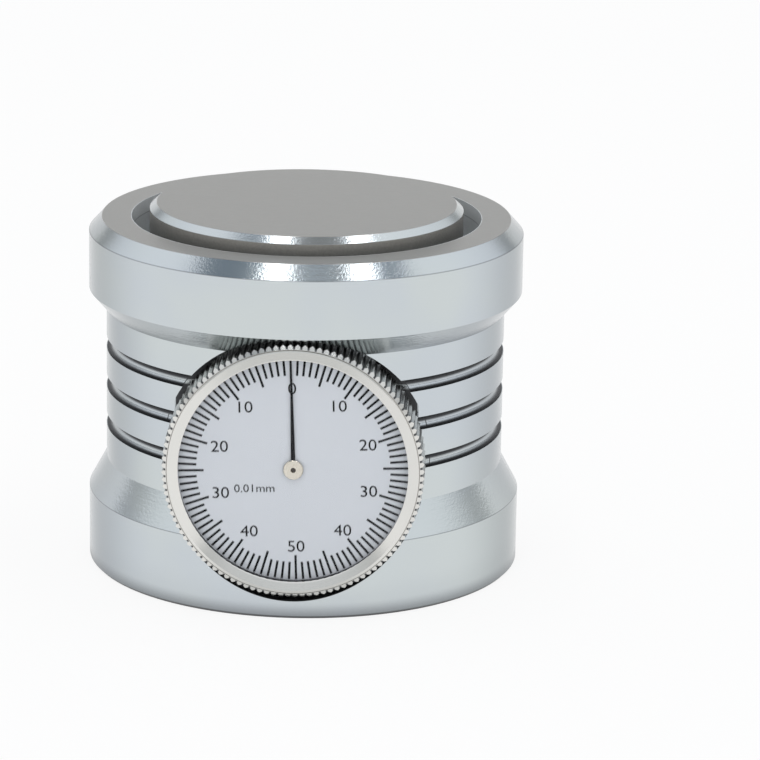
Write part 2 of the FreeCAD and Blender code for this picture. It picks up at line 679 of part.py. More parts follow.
def make_wheel(name, across, up, back, phase):
    wheel = dial_body(name, across, up, phase)
    foot = wheel_radius - wheel_module * tooth_foot
    front = back + wheel_thickness
    turn(wheel, [(arbor_radius, back), (foot, back), (foot, front), (arbor_radius, front)])
    toothing(wheel, back, front, wheel_module, wheel_teeth, wheel_tooth_share)
    hole = circle(wheel, name + "_hole_outline", "XY_Plane", 0, wheel_hole_circle, wheel_hole_radius, back)
    first = pocket(wheel, name + "_hole", hole, wheel_thickness, along_normal=True)
    repeat_round(wheel, name + "_holes", hole, [first], wheel_holes)


def make_gears():
    front_end = floor_front - pivot_inset
    pinion_back = rack_front - rack_width - side_gap
    pinion_front = rack_front + side_gap
    rack_pinion = dial_body("rack_pinion", first_across, first_up, 180.0)
    turn_arbor(rack_pinion, arbor_radius, pivot_radius, front_end,
               rack_pinion_radius - rack_module * tooth_foot, pinion_back, pinion_front)
    toothing(rack_pinion, pinion_back, pinion_front, rack_module, rack_pinion_teeth, rack_tooth_share)

    # The centre pinion has a tooth on the line to the first gear, which has a gap there.
    half_gap = 180.0 / plain(wheel_teeth)
    make_wheel("first_gear", first_across, first_up, first_wheel_back, first_angle + 180.0 + half_gap)
    pinion_low = second_wheel_back - side_gap
    pinion_high = first_wheel_back + wheel_thickness + side_gap
    centre_pinion = dial_body("centre_pinion", turned=first_angle)
    centre_foot = centre_radius - wheel_module * tooth_foot
    turn_arbor(centre_pinion, centre_arbor_radius, centre_pivot_radius, hub_back + hub_height - hub_sink,
               centre_foot, pinion_low, pinion_high)
    toothing(centre_pinion, pinion_low, pinion_high, wheel_module, centre_teeth, wheel_tooth_share)

    # On the line to the hairspring gear the pinion's nearest tooth is off by this angle.
    small_pitch = 360.0 / plain(centre_teeth)
    off = (second_angle - first_angle) % small_pitch
    second_phase = second_angle + 180.0 + half_gap + off * plain(centre_teeth) / plain(wheel_teeth)
    make_wheel("hairspring_gear", second_across, second_up, second_wheel_back, second_phase)
    hairspring_arbor = dial_body("hairspring_arbor", second_across, second_up)
    turn_arbor(hairspring_arbor, arbor_radius, pivot_radius, front_end,
               hair_inner - hair_thickness / 2 - running_fit, hair_back, hair_back + hair_height)


def make_hairspring():
    # A spiral of half turns, each an arc a little wider than the one before.
    half_turns = int(2 * plain(hair_turns))
    step = plain(hair_pitch)
    half_strip = plain(hair_thickness) / 2
    low = plain(hair_back)

    def spiral(offset):
        edges = []
        radius = plain(hair_inner) + offset
        centre = 0.0
        side = 1
        for _ in range(half_turns):
            start = FreeCAD.Vector(centre + side * radius, 0, low)
            crest = FreeCAD.Vector(centre, side * radius, low)
            end = FreeCAD.Vector(centre - side * radius, 0, low)
            edges.append(Part.Arc(start, crest, end).toShape())
            centre += side * step / 2
            radius += step / 2
            side = -side
        return edges, end

    outer, outer_end = spiral(half_strip)
    inner, inner_end = spiral(-half_strip)
    outer_start = outer[0].Vertexes[0].Point
    inner_start = inner[0].Vertexes[0].Point
    caps = [Part.makeLine(outer_end, inner_end), Part.makeLine(inner_start, outer_start)]
    ribbon = Part.Face(Part.Wire(Part.__sortEdges__(outer + inner + caps)))
    hairspring = doc.addObject("Part::Feature", "hairspring")
    hairspring.Shape = ribbon.extrude(FreeCAD.Vector(0, 0, plain(hair_height)))
    spot = FreeCAD.Vector(plain(second_across), 0, plain(dial_height + second_up))
    hairspring.Placement = FreeCAD.Placement(spot, forward)
    keep(hairspring, "hairspring")

    # The post stands against the strip's outer end.
    stud = dial_body("hairspring_stud", second_across, second_up)
    reach = hair_inner + hair_pitch * hair_turns + stud_radius + hair_thickness / 2
    post = circle(stud, "stud_outline", "XY_Plane", -reach, 0, stud_radius, rear_plate_front)
    pad(stud, "stud_post", post, hair_back + hair_height - rear_plate_front)


bearing_spots = [(zero, zero), (first_across, first_up), (second_across, second_up)]


def make_case():
    case = dial_body("dial_case")
    spigot_radius_outside = cavity_radius - running_fit
    inside = spigot_radius_outside - spigot_wall
    wire_low = wire_middle - wire_radius - seat_fit
    wire_high = wire_middle + wire_radius + seat_fit
    wire_floor = neck_radius - wire_radius - seat_fit
    turn(case, [
        (inside, case_back), (spigot_radius_outside, case_back), (spigot_radius_outside, seat_face),
        (flange_radius, seat_face), (flange_radius, flange_front), (neck_radius, flange_front),
        (neck_radius, wire_low), (wire_floor, wire_low), (wire_floor, wire_high), (neck_radius, wire_high),
        (neck_radius, neck_front), (neck_radius - neck_wall, neck_front),
        (neck_radius - neck_wall, floor_front), (zero, floor_front), (zero, floor_back), (inside, floor_back),
    ])
    drill_plate(case, floor_back, floor_front)

    plate = dial_body("rear_plate")
    turn(plate, [
        (zero, rear_plate_back), (rear_plate_radius, rear_plate_back),
        (rear_plate_radius, rear_plate_front), (zero, rear_plate_front),
    ])
    wide = rear_plate_radius + overcut
    trim = outline(plate, "top_edge", "XY_Plane", [
        (-wide, rear_plate_top), (wide, rear_plate_top), (wide, wide), (-wide, wide),
    ], rear_plate_back)
    pocket(plate, "flat_top", trim, plate_thickness, along_normal=True)
    drill_plate(plate, rear_plate_back, rear_plate_front)


def drill_plate(plate, low, high):
    # Bush seats and screw holes, the same in the case floor and the rear plate.
    for number, (across, up) in enumerate(bearing_spots):
        name = "%s_seat_%d" % (plate.Name, number)
        rim = circle(plate, name + "_outline", "XY_Plane", across, up, bush_radius, low)
        pocket(plate, name, rim, high - low, along_normal=True)
    rim = circle(plate, plate.Name + "_hole_outline", "XY_Plane", -pillar_circle, 0, screw_radius, low)
    first = pocket(plate, plate.Name + "_hole", rim, high - low, along_normal=True)
    repeat_round(plate, plate.Name + "_holes", rim, [first], pillar_count, 180.0)


def make_movement_hardware():
    # The pillars and both sets of screws start at the left and run round the lower half.
    pillars = dial_body("pillars", turned=180.0)
    tube = ring(pillars, "pillar_outline", "XY_Plane", pillar_circle, 0, pillar_radius, screw_radius,
                rear_plate_front)
    first = pad(pillars, "pillar", tube, pillar_length)
    repeat_round(pillars, "pillar_set", tube, [first], pillar_count, 180.0)

    case_screws = dial_body("case_screws", turned=180.0)
    shank_low = floor_back - screw_grip
    shank = circle(case_screws, "case_shank_outline", "XY_Plane", pillar_circle, 0, screw_radius, shank_low)
    features = [pad(case_screws, "case_shank", shank, floor_front - shank_low)]
    features += slotted_head(case_screws, "case_screw", floor_front, pillar_circle)
    repeat_round(case_screws, "case_screw_set", shank, features, pillar_count, 180.0)

    # Modelled head up like the others, then turned over to face the back.
    plate_screws = dial_body("plate_screws")
    plate_screws.Placement.Rotation = forward.multiply(FreeCAD.Rotation(FreeCAD.Vector(1, 0, 0), 180))
    seat = -rear_plate_back
    shank_low = seat - plate_thickness - screw_grip
    shank = circle(plate_screws, "plate_shank_outline", "XY_Plane", pillar_circle, 0, screw_radius, shank_low)
    features = [pad(plate_screws, "plate_shank", shank, seat - shank_low)]
    features += slotted_head(plate_screws, "plate_screw", seat, pillar_circle)
    repeat_round(plate_screws, "plate_screw_set", shank, features, pillar_count, 180.0)

    bushes = dial_body("bearing_bushes")
    pivots = [centre_pivot_radius, pivot_radius, pivot_radius]
    for number, ((across, up), pivot) in enumerate(zip(bearing_spots, pivots)):
        bore = pivot + pivot_fit
        for end, low in (("rear", rear_plate_back), ("front", floor_back)):
            name = "bush_%s_%d" % (end, number)
            wall = ring(bushes, name + "_outline", "XY_Plane", across, up, bush_radius, bore, low)
            pad(bushes, name, wall, plate_thickness)

    grub = new_body("case_grub_screw")
    bind(grub, "Placement.Base.y", -(seat_face - spigot_reach / 2))
    radius = grub_radius - seat_fit
    top = dial_height - cavity_radius
    low = top - grub_length
    turn(grub, [(zero, low), (radius, low), (radius, top), (zero, top)])
    socket = hexagon(grub, "grub_socket_outline", "XY_Plane", grub_hexagon, low)
    pocket(grub, "grub_screw_socket", socket, grub_socket, along_normal=True)


def make_bezel():
    groove_low = wire_middle - wire_radius - running_fit
    groove_high = wire_middle + wire_radius + running_fit
    groove_floor = neck_radius + wire_radius + running_fit
    crest = bezel_radius - bezel_chamfer
    chamfer_top = bezel_front - face_step
    step_edge = crest - line_width
    bezel = dial_body("bezel")
    turn(bezel, [
        (bezel_bore, bezel_back), (bezel_radius, bezel_back),
        (bezel_radius, chamfer_top - chamfer_depth), (crest, chamfer_top),
        (crest, chamfer_top - line_depth), (step_edge, chamfer_top - line_depth),
        (step_edge, bezel_front - face_step / 2), (step_edge - face_crown / 2, bezel_front - face_step / 8),
        (step_edge - face_crown, bezel_front),
        (lip_radius, lip_front), (lip_radius, crystal_front), (bezel_bore, crystal_front),
        (bezel_bore, groove_high), (groove_floor, groove_high),
        (groove_floor, groove_low), (bezel_bore, groove_low),
    ])
    # One knurl groove is a notch whose sides run out a little past the tips.
    half_mouth = (bezel_radius * (2 * math.pi) / knurl_count - knurl_land) / 2
    past = knurl_depth / 2
    half_notch = half_mouth * (knurl_depth + past) / knurl_depth
    mouth = bezel_radius + past
    notch = outline(bezel, "knurl_notch", "XY_Plane", [
        (bezel_radius - knurl_depth, zero), (mouth, half_notch), (mouth, -half_notch)], bezel_back)
    groove = pocket(bezel, "knurl_groove", notch, bezel_length, along_normal=True)
    repeat_round(bezel, "knurl", notch, [groove], knurl_count)


def make_glazing():
    held = bezel_bore - seat_fit
    crystal = dial_body("crystal")
    turn(crystal, [
        (zero, crystal_back), (held, crystal_back), (held, crystal_front), (zero, crystal_front),
    ])
    spacer = dial_body("crystal_spacer")
    turn(spacer, [
        (held - spacer_wall, dial_front), (held, dial_front),
        (held, crystal_back), (held - spacer_wall, crystal_back),
    ])
    dial_ring = dial_body("dial_ring")
    turn(dial_ring, [
        (held - ring_wall, ring_back), (held, ring_back), (held, dial_back), (held - ring_wall, dial_back),
    ])
    dial = dial_body("dial_plate")
    turn(dial, [
        (dial_hole, dial_back), (held, dial_back), (held, dial_front), (dial_hole, dial_front),
    ])
    wire = dial_body("bezel_ring")
    turn_sketch(wire, circle(wire, "wire_ring_outline", "XZ_Plane", neck_radius, wire_middle, wire_radius))


def make_pointer():
    pointer = dial_body("pointer")
    half_root = pointer_root / 2
    half_tip = pointer_tip / 2
    shoulder = pointer_length - half_tip
    blade = outline(pointer, "blade_outline", "XY_Plane", [
        (-half_root, zero), (half_root, zero), (half_tip, shoulder),
        (zero, pointer_length), (-half_tip, shoulder),
    ], pointer_back)
    pad(pointer, "blade", blade, pointer_thickness)
    eye = circle(pointer, "eye_outline", "XY_Plane", 0, 0, hub_radius - pivot_fit, pointer_back)
    pad(pointer, "eye", eye, pointer_thickness)
    bore = circle(pointer, "eye_bore_outline", "XY_Plane", 0, 0, hub_tube, pointer_back)
    pocket(pointer, "eye_bore", bore, pointer_thickness, along_normal=True)

    hub = dial_body("pointer_hub")
    hub_front = hub_back + hub_height
    turn(hub, [
        (centre_pivot_radius, hub_back - hub_tube_length), (hub_tube, hub_back - hub_tube_length),
        (hub_tube, hub_back), (hub_radius, hub_back), (hub_radius, hub_front - hub_height / 2),
        (hub_radius - hub_height / 2, hub_front), (centre_pivot_radius, hub_front),
    ])


make_body()
make_anvil()
make_plunger()
make_guide()
make_return_spring()
make_base_plug()
make_arm()
make_rack()
make_gears()
make_hairspring()
make_case()
make_movement_hardware()
make_bezel()
make_glazing()
make_pointer()
doc.recompute()

for item in doc.Objects:
    if "Invalid" in item.State or "Error" in item.State:
        raise RuntimeError("%s did not build: %s" % (item.Label, item.State))
for part in sub_parts:
    if part.Shape.isNull() or not part.Shape.isValid():
        raise RuntimeError("%s has no valid shape" % part.Label)

os.makedirs("parts", exist_ok=True)
for part in sub_parts:
    part.Shape.exportStep(os.path.join("parts", part.Label + ".step"))
    print("%-18s solids %2d  volume %10.3f mm3" % (part.Label, len(part.Shape.Solids), part.Shape.Volume))
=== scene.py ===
import math

import bmesh
import bpy
from mathutils import Matrix, Vector


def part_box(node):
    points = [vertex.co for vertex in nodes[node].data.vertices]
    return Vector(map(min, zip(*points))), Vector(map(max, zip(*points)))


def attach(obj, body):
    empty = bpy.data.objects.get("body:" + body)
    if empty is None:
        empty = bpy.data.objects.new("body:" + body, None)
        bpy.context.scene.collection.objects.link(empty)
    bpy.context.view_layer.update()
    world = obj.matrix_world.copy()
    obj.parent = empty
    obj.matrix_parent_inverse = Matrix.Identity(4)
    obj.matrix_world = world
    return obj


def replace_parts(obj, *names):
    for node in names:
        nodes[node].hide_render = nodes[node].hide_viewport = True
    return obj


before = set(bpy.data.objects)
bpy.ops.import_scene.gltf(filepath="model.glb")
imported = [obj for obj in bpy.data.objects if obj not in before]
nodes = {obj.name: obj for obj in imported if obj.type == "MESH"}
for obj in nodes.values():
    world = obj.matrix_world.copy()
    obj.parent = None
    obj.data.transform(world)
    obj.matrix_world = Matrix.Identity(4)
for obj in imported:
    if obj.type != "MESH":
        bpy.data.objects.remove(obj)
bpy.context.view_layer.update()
mm = 0.001
fullTurn = 2 * math.pi
print("frame loaded:", len(nodes), "nodes")


# Node trees: a wired value takes part in sums, any other node comes from Tree.node

class Value:
    def __init__(self, tree, socket):
        self.tree = tree
        self.socket = socket

    def math(self, operation, *others):
        return self.tree.node("ShaderNodeMath", {"operation": operation}, dict(enumerate((self,) + others)))

    def flipped(self, operation, other):
        return self.tree.node("ShaderNodeMath", {"operation": operation}, {0: other, 1: self})

    def __add__(self, other):
        return self.math("ADD", other)

    def __radd__(self, other):
        return self.flipped("ADD", other)

    def __sub__(self, other):
        return self.math("SUBTRACT", other)

    def __rsub__(self, other):
        return self.flipped("SUBTRACT", other)

    def __mul__(self, other):
        return self.math("MULTIPLY", other)

    def __rmul__(self, other):
        return self.flipped("MULTIPLY", other)

    def __truediv__(self, other):
        return self.math("DIVIDE", other)

    def __lt__(self, other):
        return self.math("LESS_THAN", other)

    def rise(self, low, high):         # 0 below low, 1 above high, smooth in between
        return self.tree.node("ShaderNodeMapRange", {"interpolation_type": "SMOOTHSTEP"},
                              {"Value": self, "From Min": low, "From Max": high})

    def inside(self, low, high, soft):
        return self.rise(low - soft, low + soft) * (1 - self.rise(high - soft, high + soft))


class Tree:
    def __init__(self, nodeTree):
        self.nodeTree = nodeTree

    def node(self, kind, settings=None, sockets=None, out=0):
        made = self.nodeTree.nodes.new(kind)
        for name, value in (settings or {}).items():
            setattr(made, name, value)
        for name, value in (sockets or {}).items():
            self.plug(made.inputs[name], value)
        return Value(self, made.outputs[out])

    def plug(self, socket, value):
        if isinstance(value, Value):
            self.nodeTree.links.new(value.socket, socket)
        else:
            socket.default_value = value

    def outputs(self, value):          # every output of the node behind a value, by name
        return {item.name: Value(self, item) for item in value.socket.node.outputs}

    def split(self, vector):
        parts = self.node("ShaderNodeSeparateXYZ", None, {0: vector})
        return [Value(self, item) for item in parts.socket.node.outputs]

    def mix(self, factor, one, two):
        # Colours: one where the factor is 0, two where it is 1
        pair = [(*c, 1.0) if isinstance(c, tuple) and len(c) == 3 else c for c in (one, two)]
        return self.node("ShaderNodeMix", {"data_type": "RGBA"}, {0: factor, 6: pair[0], 7: pair[1]}, out=2)


class Shader(Tree):
    def __init__(self, name):
        self.material = bpy.data.materials.new(name)
        self.material.use_nodes = True
        super().__init__(self.material.node_tree)
        self.surface = self.nodeTree.nodes["Principled BSDF"]

    def place(self, centre=(0, 0, 0), turned=(0, 0, 0)):
        # Object coordinates in mm, measured from centre; turned brings another axis upright
        inMetres = self.outputs(self.node("ShaderNodeTexCoord"))["Object"]
        scaled = self.node("ShaderNodeVectorMath", {"operation": "SCALE"}, {0: inMetres, "Scale": 1 / mm})
        return self.node("ShaderNodeMapping", {"vector_type": "TEXTURE"},
                         {"Vector": scaled, "Location": centre, "Rotation": turned})

    def join(self, x, y, z):
        return self.node("ShaderNodeCombineXYZ", None, {0: x, 1: y, 2: z})

    def noise(self, vector, scale, detail=2.0, roughness=0.5):
        return self.node("ShaderNodeTexNoise", None,
                         {"Vector": vector, "Scale": scale, "Detail": detail, "Roughness": roughness})

    def bump(self, height, distance, strength=1.0, after=None):
        sockets = {"Height": height, "Distance": distance * mm, "Strength": strength}
        if after is not None:
            sockets["Normal"] = after
        return self.node("ShaderNodeBump", None, sockets)

    def set(self, sockets):
        for name, value in sockets.items():
            self.plug(self.surface.inputs[name], value)
        return self.material

    def blend(self, factor, other):
        # Shows another shader in place of the surface where the factor is 1
        lit = Value(self, self.surface.outputs[0])
        mixed = self.node("ShaderNodeMixShader", None, {0: factor, 1: lit, 2: other})
        self.nodeTree.links.new(mixed.socket, self.nodeTree.nodes["Material Output"].inputs["Surface"])
        return self.material


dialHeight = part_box("dial_plate")[0].z / 2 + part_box("dial_plate")[1].z / 2
dialCentre = (0, 0, dialHeight / mm)
facingFront = (math.radians(-90), 0, 0)
print("dial axis %.2f mm above the base" % (dialHeight / mm))


# Finishes

# Painted shade for surfaces seen edge on
edgeShade = {"tone": (0.10, 0.115, 0.125), "facing": (0.3, 0.8)}


def turnedMetal(name, light, dark, roughness, depth, lines=4.0, centre=(0, 0, 0), turned=(0, 0, 0),
                zones=(), edge=0.0):
    # Turning marks run round the axis over a satin grain, and each zone has a tone and roughness of its own.
    # A surface seen edge on gets painted shade, darker by edge.
    shader = Shader(name)
    place = shader.place(centre, turned)
    x, y, z = shader.split(place)
    radius = (x * x + y * y).math("SQRT")
    rings = shader.noise(shader.join(radius * lines, 0.0, z * lines), scale=1.0, detail=3.0, roughness=0.65)
    patches = shader.noise(place, scale=0.05)
    grain = shader.noise(place, scale=3.0, detail=3.0, roughness=0.6)
    tone = shader.mix(patches.rise(0.35, 0.65), dark, light)
    tone = shader.mix(rings * 0.5 + grain * 0.2, tone, light)
    rough = roughness * (0.8 + rings * 0.2 + grain * 0.2)
    metallic = 1.0
    if edge:
        facing = shader.node("ShaderNodeLayerWeight", None, {"Blend": 0.5}, out=1)
        tone = shader.mix(facing.rise(*edgeShade["facing"]) * edge, tone, edgeShade["tone"])
    for zone in zones:
        share = zone["where"](x, y, z, radius)
        across, along, up = zone["grain"]
        marks = shader.noise(shader.join(x * across, y * along, z * up), scale=1.0, detail=4.0, roughness=0.7)
        tone = shader.mix(share, tone, shader.mix(marks, zone["dark"], zone["light"]))
        rough = rough + share * (zone["roughness"] - rough)
        if "metallic" in zone:
            metallic = metallic - share * (1.0 - zone["metallic"])
    normal = shader.bump(grain, depth, 0.6, after=shader.bump(rings, depth * 0.5, 0.5))
    return shader.set({"Base Color": tone, "Metallic": metallic, "Roughness": rough, "Normal": normal})


def crystalGlass():
    # Light passes on to the dial, and the eye sees a faint sheen
    glass = {"roughness": 0.01, "smears": 0.02, "index": 1.49, "passing": 0.8}
    shader = Shader("crystalGlass")
    place = shader.place(dialCentre, facingFront)
    smears = shader.noise(place, scale=0.5, detail=3.0, roughness=0.6)
    rough = glass["roughness"] + smears * glass["smears"]
    shader.set({"Base Color": (0.98, 0.99, 1.0, 1), "Roughness": rough, "IOR": glass["index"],
                "Transmission Weight": 1.0})
    path = shader.outputs(shader.node("ShaderNodeLightPath"))
    passing = path["Is Shadow Ray"].math("MAXIMUM", path["Is Diffuse Ray"]).math("MAXIMUM", glass["passing"])
    return shader.blend(passing, shader.node("ShaderNodeBsdfTransparent"))


def paint(name, light, dark, roughness, grainScale, sheen):
    # A flat lacquer with a fine grain and a faint unevenness
    shader = Shader(name)
    place = shader.place(dialCentre, facingFront)
    grain = shader.noise(place, grainScale, roughness=0.6)
    clouds = shader.noise(place, scale=0.2)
    tone = shader.mix(grain * 0.5 + clouds * 0.5, dark, light)
    normal = shader.bump(grain, 0.002, 0.3)
    return shader.set({"Base Color": tone, "Roughness": roughness * (0.9 + grain * 0.2),
                       "Specular IOR Level": sheen, "Normal": normal})


# Where each zone lies, in mm: a pair says where it fades in, and a third value softens both ends of a span

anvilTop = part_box("anvil")[1].z / mm
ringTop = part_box("body")[1].z / mm
topDepth = 0.1
anvilWall = {"full": anvilTop - 0.95, "end": anvilTop - 0.85}
recess = {"radius": 24.2, "edge": 0.05, "floor": (38.0, 39.0)}
grooves = {
    "middle": 30.9,
    "pitch": 5.47,
    "wall": (27.47, 27.53),
    "span": (16.0, 34.0, 0.1),
    "upperShade": (-0.3, 0.15),      # up from a groove's middle
    "lowerShade": (-0.88, -0.4),
    "evenShade": 0.1,
}
seat = {"wall": (17.93, 18.04, 0.02), "waist": (27.5, 27.7, 0.02), "behind": (-14.0, 0.0)}
foot = {"near": (0.1, 2.4), "nearShare": 0.65, "far": (0.0, 6.0), "farShare": 0.12, "edge": (0.3, 0.5)}
edgeLines = {"foot": (10.13, 10.27, 0.03), "rim": (46.57, 46.73, 0.03), "share": 0.5}
bow = {"rise": (0.35, 0.95), "from": (15.3, 15.6), "share": 0.85}
knurl = {"count": 112, "inner": (16.93, 16.97), "valley": (0.27, 0.42)}
faceLine = (16.79, 16.89, 0.01)


def inGroove(x, y, z, radius):
    # The upper part of each ring groove and its lower edge, in shade
    turns = (z - grooves["middle"]) / grooves["pitch"] + 0.5
    height = (turns - turns.math("FLOOR") - 0.5) * grooves["pitch"]
    shade = height.rise(*grooves["upperShade"]) + (1 - height.rise(*grooves["lowerShade"]))
    shade = shade + grooves["evenShade"]
    wall = 1 - radius.rise(*grooves["wall"])
    return shade * wall * z.inside(*grooves["span"])


# Painted shade on the wall of the dial's seat round the bezel, leaving out where it meets the waist
def inSeat(x, y, z, radius):
    up = z - dialCentre[2]
    reach = (x * x + up * up).math("SQRT")
    onWaist = radius.inside(*seat["waist"])
    return reach.inside(*seat["wall"]) * (1 - onWaist) * (1 - y.rise(*seat["behind"]))


def inRecess(x, y, z, radius):
    outside = radius.rise(recess["radius"], recess["radius"] + recess["edge"])
    return (1 - outside) * z.rise(*recess["floor"])


# Painted shade, darker towards the bottom of the body
def atFoot(x, y, z, radius):
    return (1 - z.rise(*foot["near"])) * foot["nearShare"] + (1 - z.rise(*foot["far"])) * foot["farShare"]


# Painted contact shadow along the bottom edge
def onFootEdge(x, y, z, radius):
    return 1 - z.rise(*foot["edge"])


# Painted reflection: thin dark lines at the top edge of the base flange and the lower edge of the upper
# flange's chamfer
def onEdges(x, y, z, radius):
    return (z.inside(*edgeLines["foot"]) + z.inside(*edgeLines["rim"])) * edgeLines["share"]


def inBow(x, y, z, radius):
    # The bezel's front shines at its left and right and is darker above and below: painted shade, after the
    # reflections of a turned face
    return (y * y / (radius * radius)).rise(*bow["rise"]) * radius.rise(*bow["from"]) * bow["share"]


# Painted shade in the valleys of the knurl
def inKnurl(x, y, z, radius):
    turns = y.math("ARCTAN2", x) / fullTurn * knurl["count"]
    phase = turns - turns.math("FLOOR") - 0.5
    return phase.math("ABSOLUTE").rise(*knurl["valley"]) * radius.rise(*knurl["inner"])


# A thin dark line round the bezel's front, inside the knurl
def onFaceLine(x, y, z, radius):
    return radius.inside(*faceLine)


# The anvil's wall below its chamfer, darker and browner
def onAnvilWall(x, y, z, radius):
    return 1 - z.rise(anvilWall["full"], anvilWall["end"])


def atTop(height):
    return lambda x, y, z, radius: z.rise(height - topDepth, height)


ground = {"light": (0.385, 0.38, 0.362), "dark": (0.285, 0.28, 0.268),
          "roughness": 0.30, "grain": (0.7, 6.0, 0.7)}
shaded = {"light": (0.12, 0.125, 0.13), "dark": (0.05, 0.05, 0.055),
          "roughness": 0.45, "grain": (3.0, 3.0, 3.0)}
# The recess: a rough bored finish, with a lighter tone and less metal as painted light in the recess's shade
boredAndLightened = {"light": (0.70, 0.73, 0.74), "dark": (0.58, 0.60, 0.61), "roughness": 0.6, "grain": (2.0, 2.0, 2.0),
         "metallic": 0.3}
brownishDark = {"light": (0.48, 0.46, 0.43), "dark": (0.28, 0.27, 0.25), "roughness": 0.4, "grain": (3.0, 3.0, 3.0)}
dim = {"light": (0.20, 0.215, 0.23), "dark": (0.15, 0.16, 0.17), "roughness": 0.3, "grain": (2.0, 2.0, 2.0)}
# Painted shade for the bezel's front above and below
bowShade = {"light": (0.57, 0.575, 0.55), "dark": (0.50, 0.505, 0.49),
        "roughness": 0.25, "grain": (3.0, 3.0, 3.0)}
bodyZones = [
    {"where": atTop(ringTop), **ground}, {"where": inRecess, **boredAndLightened}, {"where": inGroove, **shaded},
    {"where": inSeat, **shaded}, {"where": atFoot, **dim}, {"where": onFootEdge, **shaded},
    {"where": onEdges, **dim},
]
anvilZones = [{"where": atTop(anvilTop), **ground}, {"where": onAnvilWall, **brownishDark, "roughness": 0.34}]
bezelZones = [{"where": inBow, **bowShade}, {"where": inKnurl, **shaded}, {"where": onFaceLine, **brownishDark}]

satin = {"light": (0.61, 0.655, 0.66), "dark": (0.565, 0.61, 0.665)}
onDial = {"centre": dialCentre, "turned": facingFront}
metals = {
    "satinSteel": {**satin, "roughness": 0.15, "lines": 2.5, "depth": 0.03, "zones": bodyZones, "edge": 0.5},
    "anvilSteel": {**satin, "roughness": 0.17, "depth": 0.02, "zones": anvilZones, "edge": 0.4},
    "bezelAluminium": {"light": (0.77, 0.765, 0.735), "dark": (0.69, 0.685, 0.66), "roughness": 0.2,
                       "depth": 0.004, "zones": bezelZones, **onDial},
    "innerSteel": {"light": (0.52, 0.53, 0.54), "dark": (0.46, 0.47, 0.48), "roughness": 0.28,
                   "depth": 0.003},
    "blackSteel": {"light": (0.035, 0.035, 0.04), "dark": (0.02, 0.02, 0.024), "roughness": 0.45,
                   "depth": 0.003},
    "springSteel": {"light": (0.28, 0.30, 0.36), "dark": (0.20, 0.23, 0.32), "roughness": 0.25,
                    "depth": 0.002},
    "bronze": {"light": (0.62, 0.40, 0.24), "dark": (0.52, 0.32, 0.18), "roughness": 0.3, "depth": 0.002},
    "aluminium": {"light": (0.82, 0.81, 0.785), "dark": (0.76, 0.755, 0.74), "roughness": 0.27,
                  "depth": 0.004, **onDial},
    "brass": {"light": (0.76, 0.55, 0.24), "dark": (0.66, 0.46, 0.18), "roughness": 0.25, "depth": 0.002,
              **onDial},
    "nickel": {"light": (0.70, 0.66, 0.58), "dark": (0.60, 0.56, 0.48), "roughness": 0.2, "depth": 0.002,
               **onDial},
    # Near black: painted shade for the hole in the pointer hub where the arbor's end sits
    "arborSteel": {"light": (0.07, 0.062, 0.055), "dark": (0.04, 0.037, 0.035), "roughness": 0.3,
                   "depth": 0.002, **onDial},
}
materials = {name: turnedMetal(name, **values) for name, values in metals.items()}
materials["crystalGlass"] = crystalGlass()
paints = {
    "dialWhite": {"light": (0.71, 0.73, 0.765), "dark": (0.67, 0.695, 0.735), "roughness": 0.45,
                  "grainScale": 5.0, "sheen": 0.3},
    "dialInk": {"light": (0.010, 0.010, 0.012), "dark": (0.005, 0.005, 0.007), "roughness": 0.5,
                "grainScale": 8.0, "sheen": 0.06},
}
for name, values in paints.items():
    materials[name] = paint(name, **values)

finishes = {
    "body": "satinSteel", "anvil": "anvilSteel", "bezel": "bezelAluminium", "dial_case": "aluminium",
    "crystal": "crystalGlass", "dial_plate": "dialWhite", "pointer": "dialInk", "pointer_hub": "nickel",
    "centre_pinion": "arborSteel", "crystal_spacer": "blackSteel", "base_plug": "blackSteel",
    "arm_screw": "blackSteel", "case_grub_screw": "blackSteel", "guide_bush": "bronze",
    "bearing_bushes": "bronze", "first_gear": "brass", "hairspring_gear": "brass", "rear_plate": "brass",
    "pillars": "brass", "dial_ring": "brass", "hairspring_stud": "brass", "return_spring": "springSteel",
    "hairspring": "springSteel", "bezel_ring": "springSteel",
}
for name, node in nodes.items():
    node.data.materials.clear()
    node.data.materials.append(materials[finishes.get(name, "innerSteel")])
print("finishes set")


# Dial print

dialPrint = {
    "turned": -2.0,          # degrees, seen from the front
    "outerRadius": 15.36,
    "shortInner": 12.95,
    "longInner": 11.97,
    "lineWidth": 0.31,
    "marks": 100,
    "inkThickness": 0.02,
    "numberHeight": 1.55,
    "numberRadii": (11.1, 10.65, 10.4, 10.4, 10.65, 10.8),    # for 0, 10 and so on to 50
    "widened": 1.1,
    "unitText": "0.01mm",
    "unitSpot": (-5.4, -2.65),
    "unitHeight": 1.08,
    "shift": (0.12, 0.08),
    "pointerTurned": -1.8,
}
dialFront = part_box("dial_plate")[0].y


def geometryTree(name, inputs):
    tree = bpy.data.node_groups.new(name, "GeometryNodeTree")
    tree.interface.new_socket("Geometry", in_out="INPUT", socket_type="NodeSocketGeometry")
    for label, kind in inputs.items():
        tree.interface.new_socket(label, in_out="INPUT", socket_type="NodeSocket" + kind)
    tree.interface.new_socket("Geometry", in_out="OUTPUT", socket_type="NodeSocketGeometry")
    return Tree(tree)


